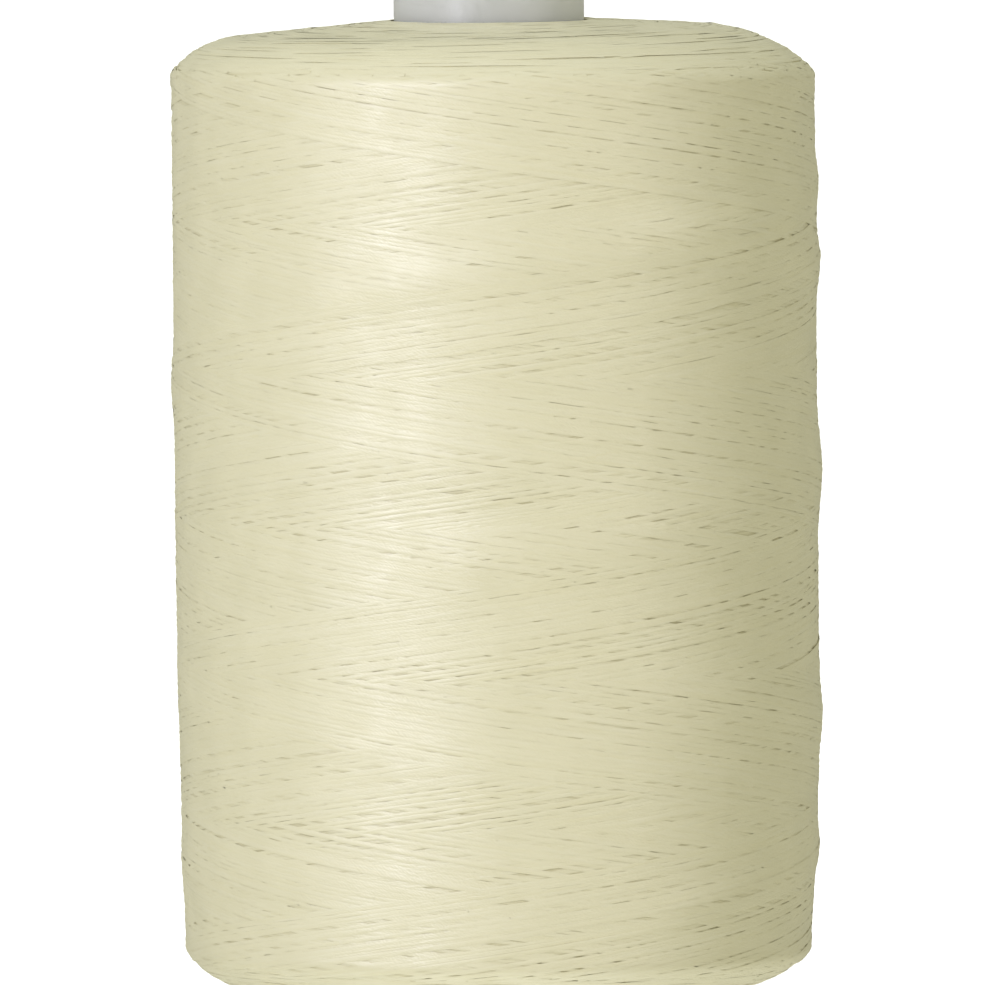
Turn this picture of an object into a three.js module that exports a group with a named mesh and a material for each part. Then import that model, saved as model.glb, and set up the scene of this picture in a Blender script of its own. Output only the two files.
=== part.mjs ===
// Spool of cotton sewing thread: one cross-wound body of thread on a plain plastic tube.
// Millimetres, +Z up. The tube's axis is the Z axis, and its lower rim stands on Z = 0.
// Angles go round from the front (-Y) towards +X, so the front is 0 and +X is a quarter turn.
import * as THREE from 'three';

const FULL_TURN = 2 * Math.PI;

// Tube: hollow, open at both ends, standing out of the thread at both ends.
const TUBE_RADIUS = 8.4;
const TUBE_WALL = 1.6;
const TUBE_LENGTH = 96.4;
const TUBE_RIM_CHAMFER = 0.4;
const TUBE_SEGMENTS = 48;

// Winding: its outer form, and where it sits on the tube.
const WINDING_RADIUS = 28.4;
const WINDING_HEIGHT = 86;
const WINDING_FOOT = 4.4;
const WINDING_CLEARANCE = 0.3;
const WINDING_OFF_CENTRE = 0.3; // the thread lies a little thicker on the +X side
const BORE_RADIUS = TUBE_RADIUS + WINDING_CLEARANCE;

// Shoulders, where the flank turns into an end face. The winding slumps unevenly, so each end
// has one form on its -X side and another on its +X side. inset and drop are the width and the
// height of the round, and rise is how far the end face climbs from the round to the tube.
const SHOULDERS = {
  lower: {
    left: { inset: 4.6, drop: 3.4, rise: 0.9 },
    right: { inset: 6.0, drop: 3.3, rise: 0.5 },
  },
  upper: {
    left: { inset: 5.3, drop: 3.3, rise: 1.4 },
    right: { inset: 8.6, drop: 4.5, rise: 0.6 },
  },
};
const SHOULDER_EXPONENT = 1.5; // 2 is an ellipse, 1 a straight chamfer

// The flank draws in towards the bottom: the radius lost at the very bottom, and from what height.
const LOWER_TAPER = {
  left: { lost: 0.7, height: 40 },
  right: { lost: 1.2, height: 24 },
};

// Main twists. The thread climbs and falls in crossing helices, which leave a faint lattice of
// ridges all over the flank.
const HELIX_CLIMB = 26.2; // per turn
const LATTICE_STARTS = 3;
const LATTICE_DEPTH = 0.09;

// The last passes lie in bands that stand proud of it. height is where a band crosses the
// front, above the winding's foot, and way is 1 where it climbs and -1 where it falls. start
// and end are the angles, in degrees, between which it shows. width is half its breadth.
const BANDS = [
  { height: 64.9, way: 1, start: -50, end: 165, width: 2.0, proud: 0.30 },
  { height: 71.1, way: -1, start: 20, end: 165, width: 2.5, proud: 0.38 },
  { height: 39.7, way: 1, start: -20, end: 165, width: 3.4, proud: 0.42 },
  { height: 31.1, way: -1, start: 20, end: 170, width: 2.8, proud: 0.28 },
  { height: 6.3, way: 1, start: 20, end: 160, width: 1.8, proud: 0.32 },
  { height: 47.0, way: -1, start: -110, end: 40, width: 2.6, proud: 0.12 },
  { height: 20.7, way: -1, start: -100, end: 30, width: 2.4, proud: 0.10 },
  { height: 60.9, way: 1, start: -170, end: -20, width: 2.4, proud: 0.14 },
  { height: 18.5, way: 1, start: -170, end: -50, width: 2.4, proud: 0.15 },
  { height: 78.0, way: -1, start: -170, end: -40, width: 2.4, proud: 0.15 },
];
const BAND_FADE = THREE.MathUtils.degToRad(18); // run in which a band rises or sinks at its ends

// Mesh density of the winding.
const ROUND_SEGMENTS = 64;
const END_FACE_STEPS = 4;
const SHOULDER_STEPS = 6;
const FLANK_STEPS = 46;

function towards(from, to, share) {
  return from + (to - from) * share;
}

// A closed lathe outline runs up the outside and down the bore, so that its faces look out.
function tubeGeometry() {
  const inner = TUBE_RADIUS - TUBE_WALL;
  const chamfer = TUBE_RIM_CHAMFER;
  const outline = [
    [inner + chamfer, 0],
    [TUBE_RADIUS - chamfer, 0],
    [TUBE_RADIUS, chamfer],
    [TUBE_RADIUS, TUBE_LENGTH - chamfer],
    [TUBE_RADIUS - chamfer, TUBE_LENGTH],
    [inner + chamfer, TUBE_LENGTH],
    [inner, TUBE_LENGTH - chamfer],
    [inner, chamfer],
    [inner + chamfer, 0],
  ].map(([radius, height]) => new THREE.Vector2(radius, height));
  return new THREE.LatheGeometry(outline, TUBE_SEGMENTS).rotateX(Math.PI / 2);
}

// One end of the winding's section, from the bore out to the flank. depth is measured from the
// end's crown into the winding.
function endOutline(shoulder) {
  const points = [];
  const edge = WINDING_RADIUS - shoulder.inset;
  for (let step = 0; step < END_FACE_STEPS; step += 1) {
    const share = step / END_FACE_STEPS;
    points.push({ radius: towards(BORE_RADIUS, edge, share), depth: shoulder.rise * share });
  }
  for (let step = 0; step <= SHOULDER_STEPS; step += 1) {
    const turn = (step / SHOULDER_STEPS) * (Math.PI / 2);
    const out = Math.sin(turn) ** (2 / SHOULDER_EXPONENT);
    const left = Math.cos(turn) ** (2 / SHOULDER_EXPONENT);
    points.push({
      radius: edge + shoulder.inset * out,
      depth: shoulder.rise + shoulder.drop * (1 - left),
    });
  }
  return points;
}

// The whole section on one side: out along the lower end, up the flank, in along the upper end.
function sectionOutline(side) {
  const lower = endOutline(SHOULDERS.lower[side])
    .map(({ radius, depth }) => ({ radius, height: depth }));
  const upper = endOutline(SHOULDERS.upper[side])
    .map(({ radius, depth }) => ({ radius, height: WINDING_HEIGHT - depth }))
    .reverse();
  const flank = [];
  for (let step = 1; step < FLANK_STEPS; step += 1) {
    const share = step / FLANK_STEPS;
    flank.push({
      radius: WINDING_RADIUS,
      height: towards(lower.at(-1).height, upper[0].height, share),
    });
  }
  return [...lower, ...flank, ...upper];
}

function lowerTaper(height, share) {
  const lostOn = (taper) => taper.lost * Math.max(0, 1 - height / taper.height) ** 1.5;
  return towards(lostOn(LOWER_TAPER.left), lostOn(LOWER_TAPER.right), share);
}

// Two crossing helices sum to a lattice that repeats all round the winding.
function latticeRelief(angle, height) {
  const climbed = (FULL_TURN * height) / HELIX_CLIMB;
  const rising = Math.cos(LATTICE_STARTS * (climbed - angle));
  const falling = Math.cos(LATTICE_STARTS * (climbed + angle));
  return LATTICE_DEPTH * (rising + falling);
}

function bandRelief(band, angle, height) {
  const start = THREE.MathUtils.degToRad(band.start);
  const end = THREE.MathUtils.degToRad(band.end);
  const climbed = (band.way * HELIX_CLIMB * angle) / FULL_TURN;
  const off = (height - band.height - climbed) / band.width;
  const shown = THREE.MathUtils.smoothstep(angle, start, start + BAND_FADE)
    * (1 - THREE.MathUtils.smoothstep(angle, end - BAND_FADE, end));
  return band.proud * Math.exp(-off * off) * shown;
}

// Relief of the flank. It fades out over the shoulders, where the passes turn back.
function relief(angle, height) {
  const fromFront = angle > Math.PI ? angle - FULL_TURN : angle;
  const fromEnd = Math.min(height, WINDING_HEIGHT - height);
  const proud = BANDS.reduce((sum, band) => sum + bandRelief(band, fromFront, height), 0);
  return (proud + latticeRelief(angle, height)) * THREE.MathUtils.smoothstep(fromEnd, 2, 8);
}

// The lathe lays out the mesh, and each of its points then moves to the true section at its
// angle: between the -X and the +X outline, with the taper, the relief and the uneven build-up.
function windingGeometry() {
  const left = sectionOutline('left');
  const right = sectionOutline('right');
  const outline = right.map(({ radius, height }) => new THREE.Vector2(radius, height));
  const geometry = new THREE.LatheGeometry([...outline, outline[0].clone()], ROUND_SEGMENTS);
  const position = geometry.attributes.position;
  const rows = outline.length + 1;
  for (let index = 0; index < position.count; index += 1) {
    const row = (index % rows) % outline.length;
    const angle = (FULL_TURN * (Math.floor(index / rows) % ROUND_SEGMENTS)) / ROUND_SEGMENTS;
    const share = (1 + Math.sin(angle)) / 2;
    const height = towards(left[row].height, right[row].height, share);
    const plain = towards(left[row].radius, right[row].radius, share);
    const outward = (plain - BORE_RADIUS) / (WINDING_RADIUS - BORE_RADIUS);
    const radius = plain + outward * (relief(angle, height) - lowerTaper(height, share));
    const x = radius * Math.sin(angle) + outward * WINDING_OFF_CENTRE;
    position.setXYZ(index, x, WINDING_FOOT + height, radius * Math.cos(angle));
  }
  return geometry.rotateX(Math.PI / 2);
}

function namedMesh(name, geometry, material) {
  const mesh = new THREE.Mesh(geometry, material);
  mesh.name = name;
  return mesh;
}

const frostedPlastic = new THREE.MeshStandardMaterial({
  color: 0xc4c5bf,
  roughness: 0.45,
  metalness: 0,
});
const creamCotton = new THREE.MeshStandardMaterial({
  color: 0xe2dcba,
  roughness: 0.8,
  metalness: 0,
});

const spool = new THREE.Group();
spool.add(namedMesh('tube', tubeGeometry(), frostedPlastic));
spool.add(namedMesh('winding', windingGeometry(), creamCotton));

export default spool;
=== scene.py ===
# Looks of a spool of cotton sewing thread. The thread is wound again strand by strand: each pass
# lies on those before it, and what still shows at the end becomes geometry.
# Sizes are in millimetres until a mesh is written. Angles go round from the front (-Y)
# towards +X. A place on the winding is an angle and a run, the way along the section from the
# lower end's bore, over the flank, to the upper end's bore.
import math

import bpy
import numpy as np
from mathutils import Matrix, Vector


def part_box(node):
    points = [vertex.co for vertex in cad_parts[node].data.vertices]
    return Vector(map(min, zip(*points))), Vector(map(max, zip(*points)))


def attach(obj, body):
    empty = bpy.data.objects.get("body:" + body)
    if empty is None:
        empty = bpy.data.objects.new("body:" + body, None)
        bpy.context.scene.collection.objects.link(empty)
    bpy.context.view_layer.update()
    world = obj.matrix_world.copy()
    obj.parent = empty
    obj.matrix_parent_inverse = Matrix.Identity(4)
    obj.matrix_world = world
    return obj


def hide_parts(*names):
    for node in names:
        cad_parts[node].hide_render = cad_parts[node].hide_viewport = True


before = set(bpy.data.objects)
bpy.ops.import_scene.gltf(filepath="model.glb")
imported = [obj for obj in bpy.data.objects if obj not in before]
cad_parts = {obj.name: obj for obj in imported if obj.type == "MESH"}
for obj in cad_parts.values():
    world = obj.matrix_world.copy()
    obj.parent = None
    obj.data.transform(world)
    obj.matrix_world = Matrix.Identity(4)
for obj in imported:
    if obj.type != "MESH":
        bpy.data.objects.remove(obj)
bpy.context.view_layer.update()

TURN = 2 * math.pi
MM = 0.001

# The frame's own sizes.
tube_low, tube_high = (np.array(corner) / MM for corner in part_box("tube"))
winding_low, winding_high = (np.array(corner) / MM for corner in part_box("winding"))
AXIS = (tube_low[:2] + tube_high[:2]) / 2
TUBE_RADIUS = (tube_high[0] - tube_low[0]) / 2
TUBE_LENGTH = tube_high[2] - tube_low[2]
WINDING_FOOT = winding_low[2]
WINDING_HEIGHT = winding_high[2] - winding_low[2]

# Section of the winding, as in the part's source.
TUBE_WALL = 1.6
WINDING_RADIUS = 28.4
WINDING_CLEARANCE = 0.3
BORE_RADIUS = TUBE_RADIUS + WINDING_CLEARANCE
WINDING_OFF_CENTRE = 0.3
LOWER_TAPER = {
    "left": {"lost": 0.7, "height": 40.0},
    "right": {"lost": 1.2, "height": 24.0},
}
TAPER_EXPONENT = 1.5
SHOULDERS = {
    "lower": {
        "left": {"inset": 4.6, "drop": 3.4, "rise": 0.9},
        "right": {"inset": 6.0, "drop": 3.3, "rise": 0.5},
    },
    "upper": {
        "left": {"inset": 5.3, "drop": 3.3, "rise": 1.4},
        "right": {"inset": 8.6, "drop": 4.5, "rise": 0.6},
    },
}
SHOULDER_EXPONENT = 1.5

# Main twists, as in the part's source: bands that stand proud where the last passes lie. height
# is where one crosses the front, way is 1 where it climbs, and width is half its breadth.
HELIX_CLIMB = 26.2
BANDS = (
    {"height": 64.9, "way": 1, "start": -50, "end": 165, "width": 2.0, "proud": 0.30},
    {"height": 71.1, "way": -1, "start": 20, "end": 165, "width": 2.5, "proud": 0.38},
    {"height": 39.7, "way": 1, "start": -20, "end": 165, "width": 3.4, "proud": 0.42},
    {"height": 31.1, "way": -1, "start": 20, "end": 170, "width": 2.8, "proud": 0.28},
    {"height": 6.3, "way": 1, "start": 20, "end": 160, "width": 1.8, "proud": 0.32},
    {"height": 47.0, "way": -1, "start": -110, "end": 40, "width": 2.6, "proud": 0.12},
    {"height": 20.7, "way": -1, "start": -100, "end": 30, "width": 2.4, "proud": 0.10},
    {"height": 60.9, "way": 1, "start": -170, "end": -20, "width": 2.4, "proud": 0.14},
    {"height": 18.5, "way": 1, "start": -170, "end": -50, "width": 2.4, "proud": 0.15},
    {"height": 78.0, "way": -1, "start": -170, "end": -40, "width": 2.4, "proud": 0.15},
)
BAND_FADE = 18.0  # degrees in which one rises or sinks at its ends
BAND_END_FADE = (2, 8)  # distances from the winding's ends between which all of them fade in

# Winding pattern: three turns on the way up and three on the way down, again and again, each
# round trip a thread's breadth behind the last one. Age counts in pitches behind the newest pass.
# The passes lie in close bunches, with a small gap between them, and some bunches lie open.
PITCH = 26.23
TURNS_PER_PASS = 3
LOWER_TURN_HEIGHT = 3.07
NEWEST_ANGLE = math.radians(-111.6)
OLDEST_AGE = 2.0
SPACING = 0.18
SPACING_SPREAD = 0.012
FIRST_BUNCH = 4
BUNCH = (14, 40)
BUNCH_GAP = (0.03, 0.12)
OPEN_SPACING = 0.42
OPEN_SPACING_SPREAD = 0.05
OPEN_BUNCHES = (
    {"kind": "rising", "first": 0.20, "last": 0.32, "spacing": 0.40},
    {"kind": "rising", "first": 0.66, "last": 0.78, "spacing": 0.40},
    {"kind": "falling", "first": 0.02, "last": 0.05, "spacing": 0.40},
    {"kind": "falling", "first": 0.20, "last": 0.29, "spacing": 0.27},
    {"kind": "falling", "first": 0.66, "last": 0.75, "spacing": 0.27},
    {"kind": "falling", "first": 0.90, "last": 0.93, "spacing": 0.38},
)
WANDER = 0.028
WANDER_WAVES = ((2, 14), (15, 40), (40, 80), (80, 140))  # waves of it in a pass
WANDER_FADE = 6  # it fades in over a sixth of a pass at each end
TURN_SPREAD = 0.3  # how unevenly the passes turn back at the ends
ROOM_SHARE = {"rising": 1.0, "falling": 0.6}

# How loose the winding is, by the angle: it is tightest on the -X side.
LOOSENESS = (
    {"angle": -180, "share": 0.6},
    {"angle": -90, "share": 0.2},
    {"angle": -35, "share": 1.0},
    {"angle": 45, "share": 1.0},
    {"angle": 90, "share": 0.35},
    {"angle": 180, "share": 0.6},
)

# Courses of older thread on the shoulders and the end faces. Each is in pieces, which bow and
# lean, and dip under the others at both ends.
END_COURSES = 2
COURSE_SPACING = 1.1 * SPACING
COURSE_BORE_RUN = 0.2
COURSE_FLANK_OVERLAP = 1.6
COURSE_PIECES = (2, 5)
PIECE_UNEVEN = 0.3
PIECE_OVERLAP = (0.03, 0.08)
PIECE_BOW = (0.1, 0.6)
PIECE_SHOULDER_BOW = 1.2
PIECE_LEAN = 0.2
PIECE_SPREAD = 0.04
PIECE_DIP = 0.14
PIECE_DIP_FROM = 0.8

# Cotton strand: the soft, flattened outside that shows, and the core that bears on other
# strands. The relief of the laid strands is pressed flat to a share of its height.
STRAND_HALF_WIDTH = 0.18
STRAND_HALF_HEIGHT = 0.03
CORE_HALF_WIDTH = 0.09
CORE_HALF_HEIGHT = 0.03
RELIEF_KEPT = 0.2
ROOM_SWELL = 0.7  # a strand with room beside it stays rounder
ROOM_CORE = 1.8
TOP_CLEARANCE = 0.03
SLUB_WAVES = (0.9, 2.3, 7.1)
SLUB_SHARE = 0.05

# Painted shade: the thread's colour is darkened where a strand lies this far below those around
# it, and less where the winding is tight.
GAP_REACH = 0.35
GAP_DEPTHS = (0.19, 0.60)
GAP_SHARE_WHERE_TIGHT = 0.3

# Grid on which the strands are laid, and how often what is laid sinks in.
COLUMNS = 720
ROW = 0.03
PASSES_PER_SINKING = 16

# Steps along the section: an end face, a shoulder and the flank.
FACE_STEPS = 60
ROUND_STEPS = 80
FLANK_STEPS = 400


def rng_for(name):
    """A generator that draws the same for a name in each run."""
    return np.random.default_rng([ord(letter) for letter in name])


# ---------------------------------------------------------------- section of the winding
def end_outline(shoulder):
    """Radii and depths of one end, from the bore out to the flank."""
    edge = WINDING_RADIUS - shoulder["inset"]
    share = np.linspace(0, 1, FACE_STEPS, endpoint=False)
    face_radius = BORE_RADIUS + (edge - BORE_RADIUS) * share
    face_depth = shoulder["rise"] * share
    turn = np.linspace(0, math.pi / 2, ROUND_STEPS + 1)
    power = 2 / SHOULDER_EXPONENT
    round_radius = edge + shoulder["inset"] * np.sin(turn) ** power
    round_depth = shoulder["rise"] + shoulder["drop"] * (1 - np.clip(np.cos(turn), 0, 1) ** power)
    return np.concatenate([face_radius, round_radius]), np.concatenate([face_depth, round_depth])


def section_outline(side):
    """Radii and heights of one side's section: lower end, flank and upper end."""
    low_radius, low_height = end_outline(SHOULDERS["lower"][side])
    up_radius, up_depth = end_outline(SHOULDERS["upper"][side])
    up_radius, up_height = up_radius[::-1], WINDING_HEIGHT - up_depth[::-1]
    flank_height = np.linspace(low_height[-1], up_height[0], FLANK_STEPS + 1)[1:-1]
    flank_radius = np.full(len(flank_height), WINDING_RADIUS)
    return (
        np.concatenate([low_radius, flank_radius, up_radius]),
        np.concatenate([low_height, flank_height, up_height]),
    )


LEFT_RADIUS, LEFT_HEIGHT = section_outline("left")
RIGHT_RADIUS, RIGHT_HEIGHT = section_outline("right")
MEAN_RADIUS = (LEFT_RADIUS + RIGHT_RADIUS) / 2
MEAN_HEIGHT = (LEFT_HEIGHT + RIGHT_HEIGHT) / 2
RUN = np.concatenate([[0], np.cumsum(np.hypot(np.diff(MEAN_RADIUS), np.diff(MEAN_HEIGHT)))])
RUN_LENGTH = RUN[-1]


def run_at_height(height):
    rising = slice(FACE_STEPS, len(RUN) - FACE_STEPS)
    return float(np.interp(height, MEAN_HEIGHT[rising], RUN[rising]))


LOWER_TURN_RUN = run_at_height(LOWER_TURN_HEIGHT)
UPPER_TURN_RUN = run_at_height(LOWER_TURN_HEIGHT + TURNS_PER_PASS * PITCH)


def taper(height, share):
    """How far the flank draws in, at a share of the way from the -X to the +X side."""
    left, right = (
        row["lost"] * np.clip(1 - height / row["height"], 0, None) ** TAPER_EXPONENT
        for row in (LOWER_TAPER["left"], LOWER_TAPER["right"])
    )
    return left + (right - left) * share


def smoothstep(value, low, high):
    share = np.clip((value - low) / (high - low), 0, 1)
    return share * share * (3 - 2 * share)


def between_cells(field, row, column):
    """Values of a grid between its cells. Rows stop at its edges, and columns go round."""
    rows, columns = field.shape
    row = np.clip(row, 0, rows - 1.001)
    row_1, column_1 = row.astype(int), np.floor(column).astype(int) % columns
    row_share, column_share = row - row_1, column - np.floor(column)
    column_2 = (column_1 + 1) % columns

    def across(at_row):
        first, second = field[at_row, column_1], field[at_row, column_2]
        return first * (1 - column_share) + second * column_share

    return across(row_1) * (1 - row_share) + across(row_1 + 1) * row_share


def band_table(angle_steps=180, height_steps=430):
    """Relief of the bands on a grid of angles and heights, so that it is worked out once."""
    degrees = np.arange(angle_steps) * 360 / angle_steps - 180
    height = np.linspace(0, WINDING_HEIGHT, height_steps)[:, None]
    total = np.zeros((height_steps, angle_steps))
    for band in BANDS:
        climbed = band["way"] * HELIX_CLIMB * degrees / 360
        off = (height - band["height"] - climbed) / band["width"]
        shown = smoothstep(degrees, band["start"], band["start"] + BAND_FADE)
        shown = shown * (1 - smoothstep(degrees, band["end"] - BAND_FADE, band["end"]))
        total += band["proud"] * np.exp(-off * off) * shown
    from_end = np.minimum(height, WINDING_HEIGHT - height)
    return total * smoothstep(from_end, *BAND_END_FADE)


BAND_RELIEF = band_table()


def bands_at(angle, height):
    rows, columns = BAND_RELIEF.shape
    column = ((angle / TURN + 0.5) % 1) * columns
    return between_cells(BAND_RELIEF, height / WINDING_HEIGHT * (rows - 1), column)


def section_at(angle, run):
    """Radius and height of a place, and its share of the way out from the bore."""
    share = (1 + np.sin(angle)) / 2

    def mixed(left, right):
        low, high = np.interp(run, RUN, left), np.interp(run, RUN, right)
        return low + (high - low) * share

    plain = mixed(LEFT_RADIUS, RIGHT_RADIUS)
    height = mixed(LEFT_HEIGHT, RIGHT_HEIGHT)
    outward = (plain - BORE_RADIUS) / (WINDING_RADIUS - BORE_RADIUS)
    return plain + outward * (bands_at(angle, height) - taper(height, share)), height, outward


def on_winding(angle, run, out, sideways=0.0):
    """Points out from the winding's surface, and sideways along its section, in mm."""
    step = 0.05
    radius, height, outward = section_at(angle, run)
    radius_2, height_2, _ = section_at(angle, np.minimum(run + step, RUN_LENGTH))
    radius_1, height_1, _ = section_at(angle, np.maximum(run - step, 0))
    along_r, along_h = radius_2 - radius_1, height_2 - height_1
    length = np.hypot(along_r, along_h)
    along_r, along_h = along_r / length, along_h / length
    radius = radius + along_h * out + along_r * sideways
    height = height - along_r * out + along_h * sideways
    return np.stack(
        [
            AXIS[0] + radius * np.sin(angle) + outward * WINDING_OFF_CENTRE,
            AXIS[1] - radius * np.cos(angle),
            WINDING_FOOT + height,
        ],
        axis=-1,
    )


# ---------------------------------------------------------------- laying the strands
ROWS = int(RUN_LENGTH / ROW) + 1
COLUMN_ARC = WINDING_RADIUS * TURN / COLUMNS


def half_profile(half_width, half_height):
    foot = int(half_width / ROW)
    offsets = np.arange(-foot, foot + 1)
    return offsets, half_height * (1 - (offsets * ROW / half_width) ** 2)


def core_height(room):
    return CORE_HALF_HEIGHT * (1 + ROOM_CORE * room)


def outside_height(room):
    return STRAND_HALF_HEIGHT * (1 + ROOM_SWELL * room)


CORE = half_profile(CORE_HALF_WIDTH, 1.0)
OUTSIDE = half_profile(STRAND_HALF_WIDTH, 1.0 / RELIEF_KEPT)
MARGIN = OUTSIDE[0][-1]


class Sinking:
    """The wound thread is soft, so what piles up sinks in: a coarse blur of the laid heights."""

    BLOCK_ROWS, BLOCK_COLUMNS = 10, 4
    WIDTH = 1.3

    def __init__(self):
        self.rows, self.columns = ROWS // self.BLOCK_ROWS, COLUMNS // self.BLOCK_COLUMNS
        self.blur_rows = self.weights(self.rows, self.BLOCK_ROWS * ROW, False)
        self.blur_columns = self.weights(self.columns, self.BLOCK_COLUMNS * COLUMN_ARC, True).T
        self.field = np.zeros((self.rows, self.columns))

    def weights(self, count, cell, wrap):
        apart = np.arange(count)[:, None] - np.arange(count)[None, :]
        if wrap:
            apart = (apart + count / 2) % count - count / 2
        weight = np.exp(-0.5 * (apart * cell / self.WIDTH) ** 2)
        return weight / weight.sum(1, keepdims=True)

    def update(self, heights):
        cells = heights[: self.rows * self.BLOCK_ROWS]
        cells = cells.reshape(self.rows, self.BLOCK_ROWS, self.columns, self.BLOCK_COLUMNS)
        self.field = self.blur_rows @ cells.mean((1, 3)) @ self.blur_columns

    def at(self, rows, columns):
        row = (rows + 0.5) / self.BLOCK_ROWS - 0.5
        column = (columns + 0.5) / self.BLOCK_COLUMNS - 0.5
        return between_cells(self.field, row, column)


def taut(need):
    """The path of a taut thread that lies on the flank and nowhere below need."""
    x = np.arange(len(need)) * COLUMN_ARC
    sag = x * x / (2 * WINDING_RADIUS)
    lifted = (need - sag).tolist()
    xs = x.tolist()
    kept = []
    for i, top in enumerate(lifted):
        while len(kept) >= 2:
            a, b = kept[-2], kept[-1]
            if (lifted[b] - lifted[a]) * (xs[i] - xs[a]) > (top - lifted[a]) * (xs[b] - xs[a]):
                break
            kept.pop()
        kept.append(i)
    return np.interp(x, x[kept], np.array(lifted)[kept]) + sag


def rows_of(run):
    return np.clip(np.round(run / ROW).astype(int), MARGIN, ROWS - MARGIN - 1)


def lay(strand, cores, tops, sinking):
    """Lays a strand on the cores of those before it, in heights that don't count the sinking."""
    columns = strand["columns"] % COLUMNS
    rows = rows_of(strand["run"])
    need = np.max([cores[rows + offset, columns] for offset in CORE[0]], axis=0)
    sunk = sinking.at(rows, columns)
    room = strand["room"]
    centre = taut(need + core_height(room) - sunk - strand["dip"]) + sunk
    for (offsets, profile), height, grid in (
        (CORE, core_height(room), cores),
        (OUTSIDE, outside_height(room), tops),
    ):
        for offset, rise in zip(offsets, profile):
            where = (rows + offset, columns)
            grid[where] = np.maximum(grid[where], centre + height * rise)
    strand["out"] = centre


def end_arcs(end):
    """Courses of older thread, which cover a shoulder and an end face."""
    rng = rng_for("arcs " + end)
    turn_back = LOWER_TURN_RUN if end == "lower" else RUN_LENGTH - UPPER_TURN_RUN
    at_flank = turn_back + COURSE_FLANK_OVERLAP
    arcs = []
    for _ in range(END_COURSES):
        run = COURSE_BORE_RUN
        while run < at_flank:
            share = run / at_flank
            pieces = int(rng.integers(*COURSE_PIECES))
            spots = np.arange(pieces) + rng.uniform(-PIECE_UNEVEN, PIECE_UNEVEN, pieces)
            cuts = spots / pieces + rng.uniform()
            for piece in range(pieces):
                cut = cuts[piece + 1] if piece + 1 < pieces else cuts[0] + 1
                reach = rng.uniform(*PIECE_OVERLAP)
                first = int((cuts[piece] - reach) * COLUMNS)
                count = int((cut + reach) * COLUMNS) - first
                where = np.linspace(-1, 1, count)
                bow = rng.uniform(*PIECE_BOW) + PIECE_SHOULDER_BOW * share**3
                lean = rng.normal(0, PIECE_LEAN)
                way = run + rng.normal(0, PIECE_SPREAD) + bow * where**4 + lean * where
                dipping = np.clip((np.abs(where) - PIECE_DIP_FROM) / (1 - PIECE_DIP_FROM), 0, 1)
                arcs.append(
                    {
                        "columns": first + np.arange(count),
                        "run": np.clip(way, COURSE_BORE_RUN, None),
                        "dip": PIECE_DIP * dipping,
                        "room": np.full(count, rng.uniform(0, 1) ** 3),
                        "kind": "ends",
                    }
                )
            run += COURSE_SPACING
    arcs = [arcs[i] for i in rng.permutation(len(arcs))]
    if end == "upper":
        for arc in arcs:
            arc["run"] = RUN_LENGTH - arc["run"]
    return arcs


def distances_behind(kind, rng):
    """How far each pass lies behind the newest, in mm, and the room beside it, from 0 to 1."""
    behind = [0.0]
    left_in_bunch = FIRST_BUNCH
    while behind[-1] < OLDEST_AGE * PITCH:
        age = behind[-1] / PITCH
        spacings = [
            bunch["spacing"]
            for bunch in OPEN_BUNCHES
            if bunch["kind"] == kind and bunch["first"] <= age < bunch["last"]
        ]
        if spacings:
            step = spacings[0] + rng.normal(0, OPEN_SPACING_SPREAD)
        else:
            left_in_bunch -= 1
            step = rng.normal(SPACING, SPACING_SPREAD)
            if left_in_bunch == 0:
                left_in_bunch = int(rng.integers(*BUNCH))
                step += rng.uniform(*BUNCH_GAP)
        behind.append(behind[-1] + step)
    steps = np.diff(behind)
    widest = np.maximum(np.append(steps, SPACING), np.insert(steps, 0, SPACING))
    close = 1.2 * SPACING
    room = np.clip((widest - close) / (OPEN_SPACING - close), 0, 1)
    return zip(behind, ROOM_SHARE[kind] * room)


def looseness(columns):
    """How loose the winding is at a column, from 0 to 1."""
    angles = [row["angle"] for row in LOOSENESS]
    shares = [row["share"] for row in LOOSENESS]
    return np.interp(columns * 360 / COLUMNS, angles, shares, period=360)


def flank_passes():
    """The last passes over the flank, the oldest first."""
    rng = rng_for("passes")
    count = TURNS_PER_PASS * COLUMNS + 1
    share = np.linspace(0, 1, count)
    passes = []
    for kind in ("rising", "falling"):
        for behind, room in distances_behind(kind, rng):
            low = LOWER_TURN_RUN + rng.normal(0, TURN_SPREAD)
            high = UPPER_TURN_RUN + rng.normal(0, TURN_SPREAD)
            wander = sum(
                rng.normal(0, WANDER) * np.sin(TURN * (share * rng.uniform(*waves) + rng.uniform()))
                for waves in WANDER_WAVES
            )
            wander = wander * np.clip(WANDER_FADE * np.minimum(share, 1 - share), 0, 1)
            run = low + (high - low) * share
            if kind == "falling":
                run = low + high - run
            start = round((NEWEST_ANGLE / TURN + behind / PITCH) * COLUMNS)
            columns = start + np.arange(count)
            passes.append(
                {
                    "behind": behind,
                    "columns": columns,
                    "run": run + wander,
                    "dip": 0.0,
                    "room": room * looseness(columns),
                    "kind": kind,
                }
            )
    return sorted(passes, key=lambda item: -item["behind"])


cores = np.zeros((ROWS, COLUMNS))
tops = np.zeros((ROWS, COLUMNS))
sinking = Sinking()
strands = end_arcs("lower") + end_arcs("upper") + flank_passes()
for number, strand in enumerate(strands):
    if number % PASSES_PER_SINKING == 0:
        sinking.update(cores)
    lay(strand, cores, tops, sinking)
sinking.update(cores)


# ---------------------------------------------------------------- strands that show
PROFILE_ACROSS = np.array([1.0, 0.0, -1.0])
PROFILE_LIFT = 1 - PROFILE_ACROSS**2
PROFILE_ANGLES = np.arccos(PROFILE_ACROSS)
VISIBLE_WITHIN = 0.002  # how near the top of all a strand's outside has to be

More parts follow.
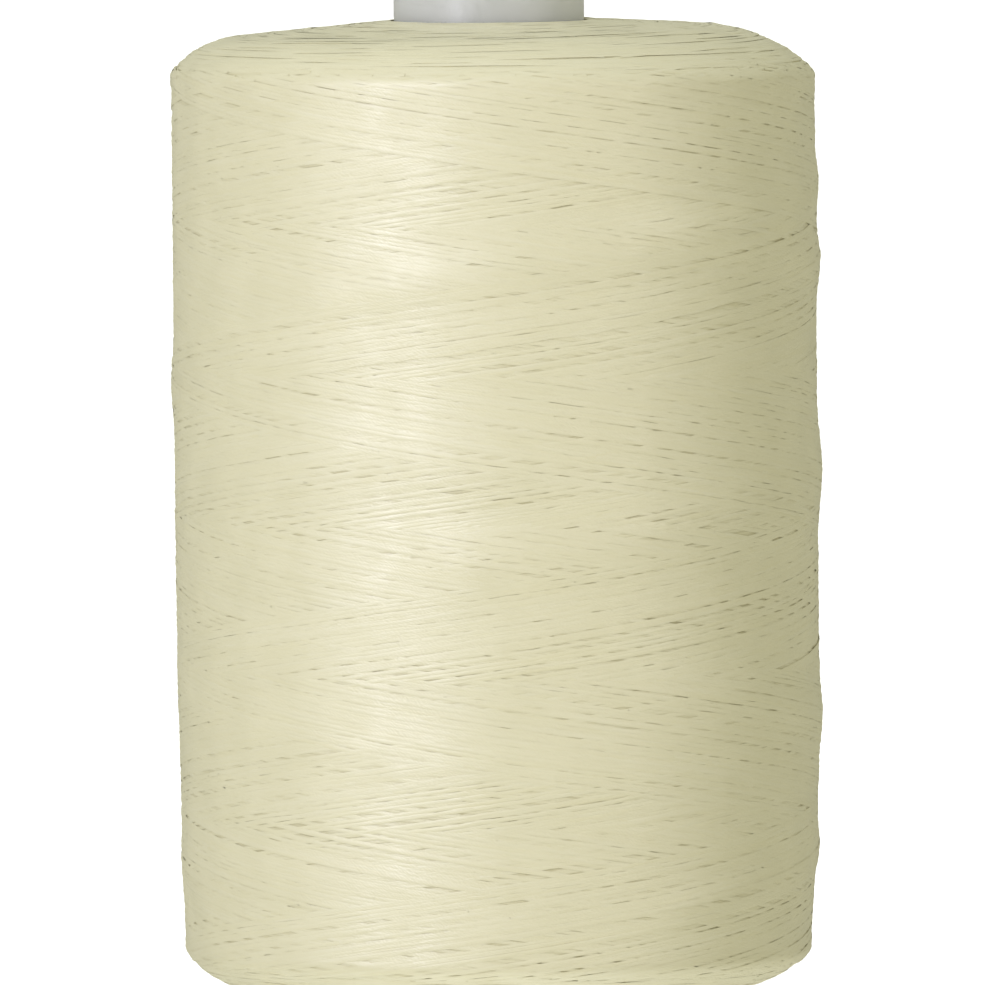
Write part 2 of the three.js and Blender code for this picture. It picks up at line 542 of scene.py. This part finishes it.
# Columns from one ring of a strand's points to the next: more where a column is short, and a
# quarter of that where the strand dives under others.
RING_STEP = 8
RING_STEP_WHERE_SHORT = 16
SHORT_COLUMN = 0.18
FINER = 4

# The twist and the slubs go on from strand to strand, with a gap and a random shift.
LOOK_GAP = 3
LOOK_SHIFT = 9

MAP_SHAPE = 0.25  # a segment's breadth over its length, with the gap beside it
MAP_GAP = 0.25
MAP_BORDER = 0.002


def blurred(heights, width):
    """Heights smoothed over a circle of about that width, in mm, round the winding."""
    for axis, cell in ((0, ROW), (1, COLUMN_ARC)):
        reach = max(1, round(2 * width / cell))
        offsets = np.arange(-reach, reach + 1)
        weights = np.exp(-0.5 * (offsets * cell / width) ** 2)
        heights = sum(
            weight * np.roll(heights, offset, axis)
            for offset, weight in zip(offsets, weights / weights.sum())
        )
    return heights


SURROUNDINGS = blurred(tops, GAP_REACH)


def visible(strand):
    """Where along it a strand lies on top of all others."""
    columns = strand["columns"] % COLUMNS
    rows = rows_of(strand["run"])
    seen = np.zeros(len(columns), bool)
    for offset, rise in zip(*OUTSIDE):
        top = strand["out"] + outside_height(strand["room"]) * rise
        seen |= top >= tops[rows + offset, columns] - VISIBLE_WITHIN
    return seen


def ring_places(seen, step):
    """Places of a strand's rings of points: finer where it dives under others."""
    coarse = np.arange(0, len(seen), step)
    fine = np.arange(0, len(seen), step // FINER)
    share = np.add.reduceat(seen.astype(int), coarse) / np.diff(np.append(coarse, len(seen)))
    dives = (share > 0) & (share < 1)
    places = fine[dives[fine // step] | (fine % step == 0)]
    return places if places[-1] == len(seen) - 1 else np.append(places, len(seen) - 1)


def shown_segments(strand, step, low_run, high_run):
    """Places of a strand's rings, and which segments show between two runs or adjoin one."""
    seen = visible(strand)
    places = ring_places(seen, step)
    seen_in = np.array([seen[a : b + 1].any() for a, b in zip(places[:-1], places[1:])])
    shown = seen_in.copy()
    shown[1:] |= seen_in[:-1]
    shown[:-1] |= seen_in[1:]
    from_run = strand["run"][places[:-1]]
    return places, shown & (from_run >= low_run) & (from_run < high_run)


def strand_rings(strand, at, slub):
    """Points of a strand's rings at those places, and the painted shade of each, from 0 to 1."""
    columns = strand["columns"][at]
    run = strand["run"][at]
    centre = strand["out"][at]
    rows = rows_of(run)
    out = RELIEF_KEPT * (centre - sinking.at(rows, columns % COLUMNS)) - TOP_CLEARANCE
    angle = columns / COLUMNS * TURN
    lateral = STRAND_HALF_WIDTH * slub * PROFILE_ACROSS[None, :]
    thickness = outside_height(strand["room"][at])[:, None]
    points = on_winding(
        np.broadcast_to(angle[:, None], lateral.shape),
        np.broadcast_to(run[:, None], lateral.shape),
        out[:, None] + thickness * slub * PROFILE_LIFT,
        lateral,
    )
    rows_across = np.clip(rows[:, None] + np.round(lateral / ROW).astype(int), 0, ROWS - 1)
    height = centre[:, None] + thickness / RELIEF_KEPT * PROFILE_LIFT
    # Painted shade: the lower a point lies below the blurred heights around it, the darker its
    # colour.
    below = SURROUNDINGS[rows_across, columns[:, None] % COLUMNS] - height
    painted_shade = np.clip((below - GAP_DEPTHS[0]) / (GAP_DEPTHS[1] - GAP_DEPTHS[0]), 0, 1)
    kept = GAP_SHARE_WHERE_TIGHT + (1 - GAP_SHARE_WHERE_TIGHT) * looseness(columns)
    return points, painted_shade * kept[:, None]


def strand_map(across, segment):
    """Map coordinates of the quads of all segments, which lie end to end in rows."""
    count = segment.max() + 1
    per_row = math.ceil(math.sqrt(count * MAP_SHAPE))
    row_count = math.ceil(count / per_row)
    column, row = segment % per_row, segment // per_row
    first, second = column / per_row, (column + 1) / per_row
    quads_across = len(PROFILE_ACROSS) - 1
    edge = MAP_GAP / 2 + (1 - MAP_GAP) * np.stack([across, across + 1]) / quads_across
    low, high = (row + edge) / row_count
    corners = np.stack([first, low, first, high, second, high, second, low], axis=-1)
    return MAP_BORDER + (1 - 2 * MAP_BORDER) * corners.reshape(-1, 2)


def strand_piece(kind, low_run, high_run):
    """Vertices, quads, per-vertex facts and the map of a kind's strands between two runs."""
    rng = rng_for(kind)
    width = len(PROFILE_ANGLES)
    points, quads, facts, across, segments = [], [], [], [], []
    start = 0
    segment_count = 0
    along_before = 0.0
    for strand in (s for s in strands if s["kind"] == kind):
        mean_radius = np.interp(strand["run"].mean(), RUN, MEAN_RADIUS)
        long_enough = mean_radius * TURN / COLUMNS > SHORT_COLUMN
        step = RING_STEP if long_enough else RING_STEP_WHERE_SHORT
        places, shown = shown_segments(strand, step, low_run, high_run)
        along_before += rng.uniform(0, LOOK_SHIFT)
        tone = rng.normal()
        slub_phases = rng.uniform(0, TURN, len(SLUB_WAVES))
        if not shown.any():
            continue
        used = np.zeros(len(places), bool)
        used[:-1] |= shown
        used[1:] |= shown
        at = places[used]
        along = along_before + at * mean_radius * TURN / COLUMNS
        slub = 1 + SLUB_SHARE * sum(
            np.sin(along / wave + phase) for wave, phase in zip(SLUB_WAVES, slub_phases)
        )
        ring_points, painted_shade = strand_rings(strand, at, slub[:, None])
        points.append(ring_points.reshape(-1, 3))
        ring_facts = (along[:, None], PROFILE_ANGLES[None, :], painted_shade, tone)
        ring_facts = [np.broadcast_to(fact, painted_shade.shape) for fact in ring_facts]
        facts.append(np.stack(ring_facts, axis=-1).reshape(-1, 4))
        ring_start = start + (np.cumsum(used) - 1) * width
        first, second = ring_start[:-1][shown], ring_start[1:][shown]
        for k in range(width - 1):
            quads.append(np.stack([first + k, first + k + 1, second + k + 1, second + k], axis=-1))
            across.append(np.full(len(first), k))
            segments.append(segment_count + np.arange(len(first)))
        start += used.sum() * width
        segment_count += len(first)
        along_before = along[-1] + LOOK_GAP
    laid_out = strand_map(np.concatenate(across), np.concatenate(segments))
    return np.concatenate(points), np.concatenate(quads), np.concatenate(facts), laid_out


# ---------------------------------------------------------------- meshes
def mesh_object(name, points, faces, laid_out=None):
    """A smooth mesh of points in mm and faces of one number of corners, with its map if any."""
    mesh = bpy.data.meshes.new(name)
    faces = np.asarray(faces)
    mesh.vertices.add(len(points))
    mesh.vertices.foreach_set("co", (np.asarray(points) * MM).astype(np.float32).ravel())
    corners = faces.shape[1]
    mesh.loops.add(len(faces) * corners)
    mesh.loops.foreach_set("vertex_index", faces.astype(np.int32).ravel())
    mesh.polygons.add(len(faces))
    starts = np.arange(0, len(faces) * corners, corners, dtype=np.int32)
    mesh.polygons.foreach_set("loop_start", starts)
    mesh.update(calc_edges=True)
    mesh.polygons.foreach_set("use_smooth", np.full(len(faces), True))
    if laid_out is not None:
        layer = mesh.uv_layers.new(name="OFBake")
        layer.uv.foreach_set("vector", laid_out.astype(np.float32).ravel())
    mesh.validate()
    piece = bpy.data.objects.new(name, mesh)
    bpy.context.scene.collection.objects.link(piece)
    return piece


def add_fact(piece, name, values):
    """Stores a number or a vector for each point, for the material to read."""
    kind = "FLOAT" if values.ndim == 1 else "FLOAT_VECTOR"
    attribute = piece.data.attributes.new(name, kind, "POINT")
    field = "value" if values.ndim == 1 else "vector"
    attribute.data.foreach_set(field, values.astype(np.float32).ravel())


def closed_grid(row_count, column_count):
    """Quads of a grid of points that closes both ways."""
    row, column = np.meshgrid(np.arange(row_count), np.arange(column_count), indexing="ij")
    next_row, next_column = (row + 1) % row_count, (column + 1) % column_count
    corners = ((row, column), (row, next_column), (next_row, next_column), (next_row, column))
    return np.stack([r * column_count + c for r, c in corners], -1).reshape(-1, 4)


# ---------------------------------------------------------------- materials
class Nodes:
    """Short calls for the node tree of a material or a world."""

    def __init__(self, owner):
        owner.use_nodes = True
        self.tree = owner.node_tree
        self.shader = self.tree.nodes.get("Principled BSDF")

    def new(self, kind, inputs=(), **settings):
        node = self.tree.nodes.new("ShaderNode" + kind)
        for key, value in settings.items():
            setattr(node, key, value)
        for key, value in dict(inputs).items():
            if isinstance(value, bpy.types.NodeSocket):
                self.tree.links.new(value, node.inputs[key])
            else:
                node.inputs[key].default_value = value
        return node

    def math(self, operation, *values):
        return self.new("Math", dict(enumerate(values)), operation=operation).outputs[0]

    def add(self, first, second):
        return self.math("ADD", first, second)

    def multiply(self, first, second):
        return self.math("MULTIPLY", first, second)

    def vector_math(self, operation, *values):
        return self.new("VectorMath", dict(enumerate(values)), operation=operation).outputs[0]

    def spread(self, value, from_low, from_high, to_low, to_high):
        names = ("From Min", "From Max", "To Min", "To Max")
        inputs = dict(zip(names, (from_low, from_high, to_low, to_high)))
        return self.new("MapRange", {"Value": value, **inputs}).outputs["Result"]

    def mix(self, factor, *colours):
        """A colour between two, each of which is a socket or plain red, green and blue."""
        sockets = [c if isinstance(c, bpy.types.NodeSocket) else (*c, 1) for c in colours]
        inputs = dict(zip((0, 6, 7), (factor, *sockets)))
        return self.new("Mix", inputs, data_type="RGBA").outputs[2]

    def place(self, x, y, z=0.0):
        return self.new("CombineXYZ", {"X": x, "Y": y, "Z": z}).outputs[0]

    def object_place(self):
        return self.new("TexCoord").outputs["Object"]

    def stretched(self, place, scale):
        return self.new("Mapping", {"Vector": place, "Scale": scale}).outputs[0]

    def noise(self, place, scale=1.0, detail=2.0, roughness=0.5):
        inputs = {"Vector": place, "Scale": scale, "Detail": detail, "Roughness": roughness}
        return self.new("TexNoise", inputs).outputs["Fac"]

    def bump(self, height, strength, depth):
        """Makes the surface bumpy, by a depth in mm."""
        inputs = {"Height": height, "Strength": strength, "Distance": depth * MM}
        self.link(self.new("Bump", inputs).outputs["Normal"], "Normal")

    def link(self, output, name):
        self.tree.links.new(output, self.shader.inputs[name])

    def set(self, **values):
        for key, value in values.items():
            self.shader.inputs[key.replace("_", " ")].default_value = value


# Cotton: its plies, the length in which they turn once, in mm, and how unevenly they do, in
# radians. Its colour is paler in places, and darker and warmer in the gaps between strands, where
# shade is painted into it.
PLIES = 3
LAY_LENGTH = 1.35
LAY_UNEVEN = 16.0
COTTON = (0.85, 0.80, 0.52)
# Painted shade of the gaps between strands.
COTTON_PAINTED_SHADE = (0.70, 0.64, 0.36)
COTTON_PALE = (0.88, 0.84, 0.60)
PACKED_COTTON = ((0.86, 0.81, 0.53), (0.90, 0.86, 0.59))
PLASTIC = ((0.655, 0.665, 0.66), (0.70, 0.71, 0.705))
FLOOR = ((0.93, 0.93, 0.93), (0.95, 0.95, 0.95))


def strand_material():
    """Twisted plies of cotton fibre. The facts are in mm along a strand, radians round it, and
    painted shade in the gaps.
    """
    material = bpy.data.materials.new("cotton_thread")
    nodes = Nodes(material)
    facts = nodes.new("Attribute", attribute_name="thread").outputs["Vector"]
    parts = nodes.new("SeparateXYZ", {"Vector": facts}).outputs
    along, around, painted_shade = parts["X"], parts["Y"], parts["Z"]
    tone = nodes.new("Attribute", attribute_name="tone").outputs["Fac"]

    uneven = nodes.noise(nodes.place(nodes.multiply(along, 0.7), tone), detail=1.0)
    slow = nodes.noise(nodes.place(nodes.multiply(along, 0.12), tone))
    fibre_place = nodes.place(nodes.multiply(along, 2.2), nodes.multiply(around, 3.0), tone)
    fibre = nodes.noise(fibre_place, 3.0, detail=3.0, roughness=0.6)
    cloud = nodes.noise(nodes.object_place(), 260.0, detail=3.0)

    turned = nodes.multiply(along, TURN * PLIES / LAY_LENGTH)
    turned = nodes.add(turned, nodes.multiply(uneven, LAY_UNEVEN))
    phase = nodes.math("SUBTRACT", nodes.multiply(around, float(PLIES)), turned)
    ply = nodes.math("MULTIPLY_ADD", nodes.math("SINE", phase), 0.5, 0.5)

    pale = nodes.add(nodes.multiply(slow, 0.7), nodes.multiply(fibre, 0.3))
    colour = nodes.mix(nodes.spread(pale, 0.3, 0.7, 0.0, 0.8), COTTON, COTTON_PALE)
    # Painted shade: the colour goes darker and warmer in the gaps between strands.
    nodes.link(nodes.mix(painted_shade, colour, COTTON_PAINTED_SHADE), "Base Color")
    matt = nodes.multiply(nodes.add(fibre, cloud), 0.5)
    nodes.link(nodes.spread(matt, 0.38, 0.62, 0.34, 0.62), "Roughness")
    ply_height = nodes.multiply(ply, nodes.multiply(uneven, 0.7))
    nodes.bump(nodes.add(ply_height, nodes.multiply(fibre, 0.7)), 0.7, 0.02)
    nodes.set(Specular_IOR_Level=1.0, IOR=1.7, Sheen_Weight=0.1, Sheen_Roughness=0.4)
    return material


def skin_material():
    """Thread packed side by side, in fine level lines."""
    material = bpy.data.materials.new("packed_thread")
    nodes = Nodes(material)
    lines = nodes.noise(nodes.stretched(nodes.object_place(), (120, 120, 3200)), detail=4.0)
    nodes.link(nodes.mix(nodes.spread(lines, 0.35, 0.65, 0, 1), *PACKED_COTTON), "Base Color")
    nodes.bump(lines, 0.6, 0.08)
    nodes.set(Roughness=0.85)
    return material


def tube_material():
    """Frosted plastic: a fine grain, faint lines along the tube and a slight cloudiness."""
    material = bpy.data.materials.new("frosted_plastic")
    nodes = Nodes(material)
    place = nodes.object_place()
    grain = nodes.noise(place, 2600.0, detail=3.0)
    drawn = nodes.noise(nodes.stretched(place, (900, 900, 60)), detail=3.0)
    cloud = nodes.noise(place, 90.0)
    nodes.link(nodes.mix(nodes.spread(cloud, 0.3, 0.7, 0, 1), *PLASTIC), "Base Color")
    nodes.link(nodes.spread(drawn, 0.3, 0.7, 0.34, 0.46), "Roughness")
    nodes.bump(nodes.add(nodes.multiply(grain, 0.5), drawn), 0.25, 0.02)
    nodes.set(Specular_IOR_Level=0.5, Subsurface_Weight=1.0, Subsurface_Scale=10 * MM)
    nodes.set(Subsurface_Radius=(1, 1, 1))
    return material


def floor_material():
    material = bpy.data.materials.new("pale_floor")
    nodes = Nodes(material)
    nodes.link(nodes.mix(nodes.noise(nodes.object_place(), 12.0), *FLOOR), "Base Color")
    nodes.set(Roughness=0.9, Emission_Color=(1, 1, 1, 1), Emission_Strength=0.75)
    return material


# ---------------------------------------------------------------- pieces of the spool
thread_look = strand_material()
MIDDLE_RUN = RUN_LENGTH / 2
for kind in ("rising", "falling", "ends"):
    for half, low_run, high_run in (("lower", 0, MIDDLE_RUN), ("upper", MIDDLE_RUN, RUN_LENGTH)):
        points, quads, facts, laid_out = strand_piece(kind, low_run, high_run)
        piece = mesh_object(f"strands_{kind}_{half}", points, quads, laid_out)
        add_fact(piece, "thread", facts[:, :3])
        add_fact(piece, "tone", facts[:, 3])
        piece.data.materials.append(thread_look)
        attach(piece, "root")
        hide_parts("winding")

# The older thread behind the strands, closed along the bore. Its rows lie closer at the ends.
SKIN_DEPTH = 0.14
SKIN_FROM_BORE = 0.3
SKIN_COLUMNS = 144
skin_runs = np.concatenate(
    [
        np.linspace(SKIN_FROM_BORE, LOWER_TURN_RUN + 2, 40),
        np.linspace(LOWER_TURN_RUN + 3, UPPER_TURN_RUN - 3, 50),
        np.linspace(UPPER_TURN_RUN - 2, RUN_LENGTH - SKIN_FROM_BORE, 40),
    ]
)
skin_angles = np.arange(SKIN_COLUMNS) / SKIN_COLUMNS * TURN
skin_points = on_winding(*np.meshgrid(skin_angles, skin_runs), -SKIN_DEPTH).reshape(-1, 3)
skin = mesh_object("packed_thread", skin_points, closed_grid(len(skin_runs), SKIN_COLUMNS))
skin.data.materials.append(skin_material())
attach(skin, "root")
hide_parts("winding")

TUBE_RIM = 0.4
TUBE_RIM_STEPS = 5
TUBE_ROW = 4  # about how far apart its rows lie
TUBE_COLUMNS = 128


def tube_outline():
    """Round the wall of the tube, with its moulded, rounded rims."""
    rim = TUBE_RIM
    inner = TUBE_RADIUS - TUBE_WALL
    turns = np.linspace(0, math.pi / 2, TUBE_RIM_STEPS + 1)
    corners = (
        (TUBE_RADIUS - rim, rim, -math.pi / 2),
        (TUBE_RADIUS - rim, TUBE_LENGTH - rim, 0.0),
        (inner + rim, TUBE_LENGTH - rim, math.pi / 2),
        (inner + rim, rim, math.pi),
    )
    outline = [
        (radius + rim * math.cos(first + turn), height + rim * math.sin(first + turn))
        for radius, height, first in corners
        for turn in turns
    ]
    dense = []
    for (r1, h1), (r2, h2) in zip(outline, outline[1:] + outline[:1]):
        steps = max(1, int(abs(h2 - h1) / TUBE_ROW))
        dense += [(r1 + (r2 - r1) * i / steps, h1 + (h2 - h1) * i / steps) for i in range(steps)]
    return np.array(dense)


outline = tube_outline()
tube_radii, tube_heights = outline[:, None, 0], outline[:, None, 1]
tube_angles = np.arange(TUBE_COLUMNS) / TUBE_COLUMNS * TURN
tube_points = np.stack(
    [
        AXIS[0] + tube_radii * np.sin(tube_angles),
        AXIS[1] - tube_radii * np.cos(tube_angles),
        tube_low[2] + np.broadcast_to(tube_heights, (len(outline), TUBE_COLUMNS)),
    ],
    -1,
).reshape(-1, 3)
tube = mesh_object("spool_tube", tube_points, closed_grid(len(outline), TUBE_COLUMNS))
tube.data.materials.append(tube_material())
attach(tube, "root")
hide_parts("tube")

# ---------------------------------------------------------------- floor, light and camera
FLOOR_HALF = 3000.0
floor_ways = ((-1, -1), (1, -1), (1, 1), (-1, 1))
floor_corners = [(FLOOR_HALF * x, FLOOR_HALF * y, 0) for x, y in floor_ways]
floor = mesh_object("floor", floor_corners, [(0, 1, 2, 3)])
floor.data.materials.append(floor_material())
floor.visible_diffuse = False
floor.visible_glossy = False

# Ambient light: level all round, more from above, and some from the pale floor below. The
# camera sees a white backdrop instead.
WORLD_LEVEL = (0.332, 0.334, 0.258)
WORLD_ABOVE = (0.62, 0.66, 0.68)
WORLD_BELOW = (1.5, 1.5, 1.45)
WORLD_NARROW = 4.0  # the higher, the closer to straight up and down the last two keep
BACKDROP = (1.05, 1.05, 1.05)


def studio_world():
    world = bpy.data.worlds.new("studio")
    nodes = Nodes(world)
    direction = nodes.new("TexCoord").outputs["Generated"]
    light = WORLD_LEVEL
    for way, colour in (((0, 0, 1), WORLD_ABOVE), ((0, 0, -1), WORLD_BELOW)):
        towards = nodes.vector_math("MULTIPLY", direction, way)
        towards = nodes.vector_math("MAXIMUM", towards, (0, 0, 0))
        upright = nodes.new("SeparateXYZ", {"Vector": towards}).outputs["Z"]
        share = nodes.math("POWER", upright, WORLD_NARROW)
        light = nodes.vector_math("MULTIPLY_ADD", share, colour, light)
    seen = nodes.new("LightPath").outputs["Is Camera Ray"]
    background = nodes.tree.nodes["Background"].inputs["Color"]
    nodes.tree.links.new(nodes.mix(seen, light, BACKDROP), background)
    return world


bpy.context.scene.world = studio_world()

MIDDLE = np.array([AXIS[0], AXIS[1], TUBE_LENGTH / 2]) * MM


def looking_at(obj, place, target, roll=0.0):
    direction = Vector(target) - Vector(place)
    turned = direction.to_track_quat("-Z", "Y").to_matrix().to_4x4()
    obj.matrix_world = Matrix.Translation(place) @ turned @ Matrix.Rotation(roll, 4, "Z")


def softbox(name, azimuth, elevation, distance, size, power, colour):
    """A lamp that looks at the spool. Its angles are in degrees, and its sizes in metres."""
    data = bpy.data.lights.new(name, "AREA")
    data.shape = "RECTANGLE"
    data.size, data.size_y = size
    data.energy = power
    data.color = colour
    lamp = bpy.data.objects.new(name, data)
    bpy.context.scene.collection.objects.link(lamp)
    a, e = math.radians(azimuth), math.radians(elevation)
    away = np.array([math.sin(a) * math.cos(e), -math.cos(a) * math.cos(e), math.sin(e)])
    looking_at(lamp, MIDDLE + away * distance, MIDDLE)


softbox("key", -38, 12, 1.2, (0.3, 0.9), 9.95, (0.86, 0.85, 1.0))
softbox("fill", 42, 10, 1.6, (0.8, 1.2), 4.65, (1.0, 0.935, 0.9))

bpy.context.scene.view_settings.view_transform = "Standard"

CAMERA_DISTANCE = 1900.0
CAMERA_ELEVATION = math.radians(3.0)
CAMERA_ROLL = math.radians(-0.5)
SENSOR_WIDTH = 36.0
FRAME_WIDTH = 86.93  # what it takes in at the spool's axis
LOOK_AT = np.array([AXIS[0] - 0.09, AXIS[1], 48.6])
camera_data = bpy.data.cameras.new("camera")
camera_data.sensor_fit = "HORIZONTAL"
camera_data.sensor_width = SENSOR_WIDTH
camera_data.lens = SENSOR_WIDTH * CAMERA_DISTANCE / FRAME_WIDTH
camera_data.clip_start = 0.05
camera = bpy.data.objects.new("camera", camera_data)
bpy.context.scene.collection.objects.link(camera)
away = np.array([0, -math.cos(CAMERA_ELEVATION), math.sin(CAMERA_ELEVATION)])
looking_at(camera, (LOOK_AT + away * CAMERA_DISTANCE) * MM, LOOK_AT * MM, CAMERA_ROLL)
bpy.context.scene.camera = camera
